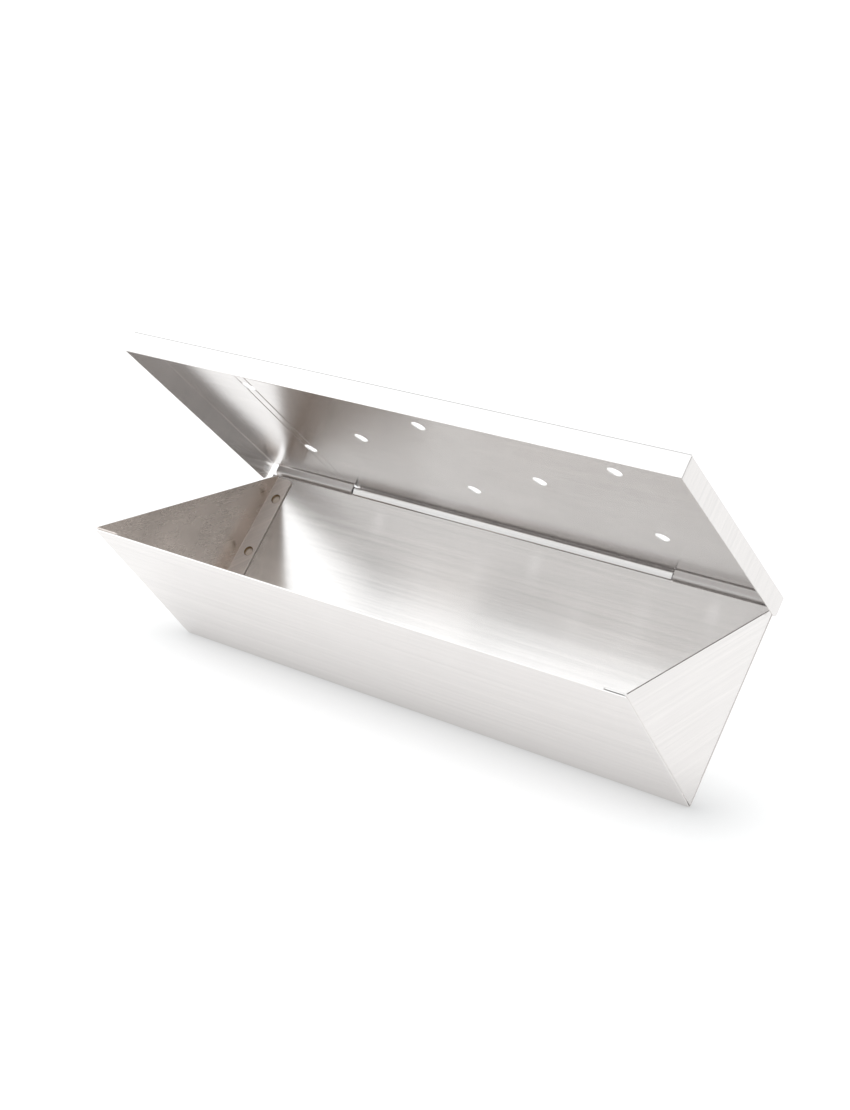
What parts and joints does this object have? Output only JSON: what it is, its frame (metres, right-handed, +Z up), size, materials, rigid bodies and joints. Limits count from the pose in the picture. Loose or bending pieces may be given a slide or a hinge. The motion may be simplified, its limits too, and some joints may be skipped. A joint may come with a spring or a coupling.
{
  "type": "grill smoker box",
  "caption": "V-shaped stainless steel wood-chip smoker box for a gas grill, with a hinged lid that is perforated and flanged and stands part open.",
  "frame": {"origin": "underside of the keel bend, half way along the box", "axes": "+X along the length, to the right as seen from the open side; +Y to the rear, towards the hinge; +Z up, out of the mouth"},
  "size_m": [0.3258, 0.1462, 0.1775],
  "materials": {
    "brushed_stainless": "brushed along the length, near-mirror inside the lid",
    "pin_steel": "drawn wire",
    "weld_steel": "satin with a straw-brown heat tint"
  },
  "bodies": {
    "box": {"trough_shell": "brushed_stainless", "left_end_plate": "brushed_stainless", "right_end_plate": "brushed_stainless", "hinge_pin": "pin_steel", "spot_weld_left_front_1": "weld_steel", "spot_weld_left_front_2": "weld_steel", "spot_weld_left_front_3": "weld_steel", "spot_weld_left_rear_1": "weld_steel", "spot_weld_left_rear_2": "weld_steel", "spot_weld_left_rear_3": "weld_steel", "spot_weld_right_front_1": "weld_steel", "spot_weld_right_front_2": "weld_steel", "spot_weld_right_front_3": "weld_steel", "spot_weld_right_rear_1": "weld_steel", "spot_weld_right_rear_2": "weld_steel", "spot_weld_right_rear_3": "weld_steel"},
    "lid": {"lid_pan": "brushed_stainless"}
  },
  "joints": [
    {"name": "lid_hinge", "type": "hinge", "parent": "box", "child": "lid", "pos_m": [0, 0.07141, 0.08041], "axis": [-1, 0, 0], "range_deg": [-41.9, 104]}
  ]
}
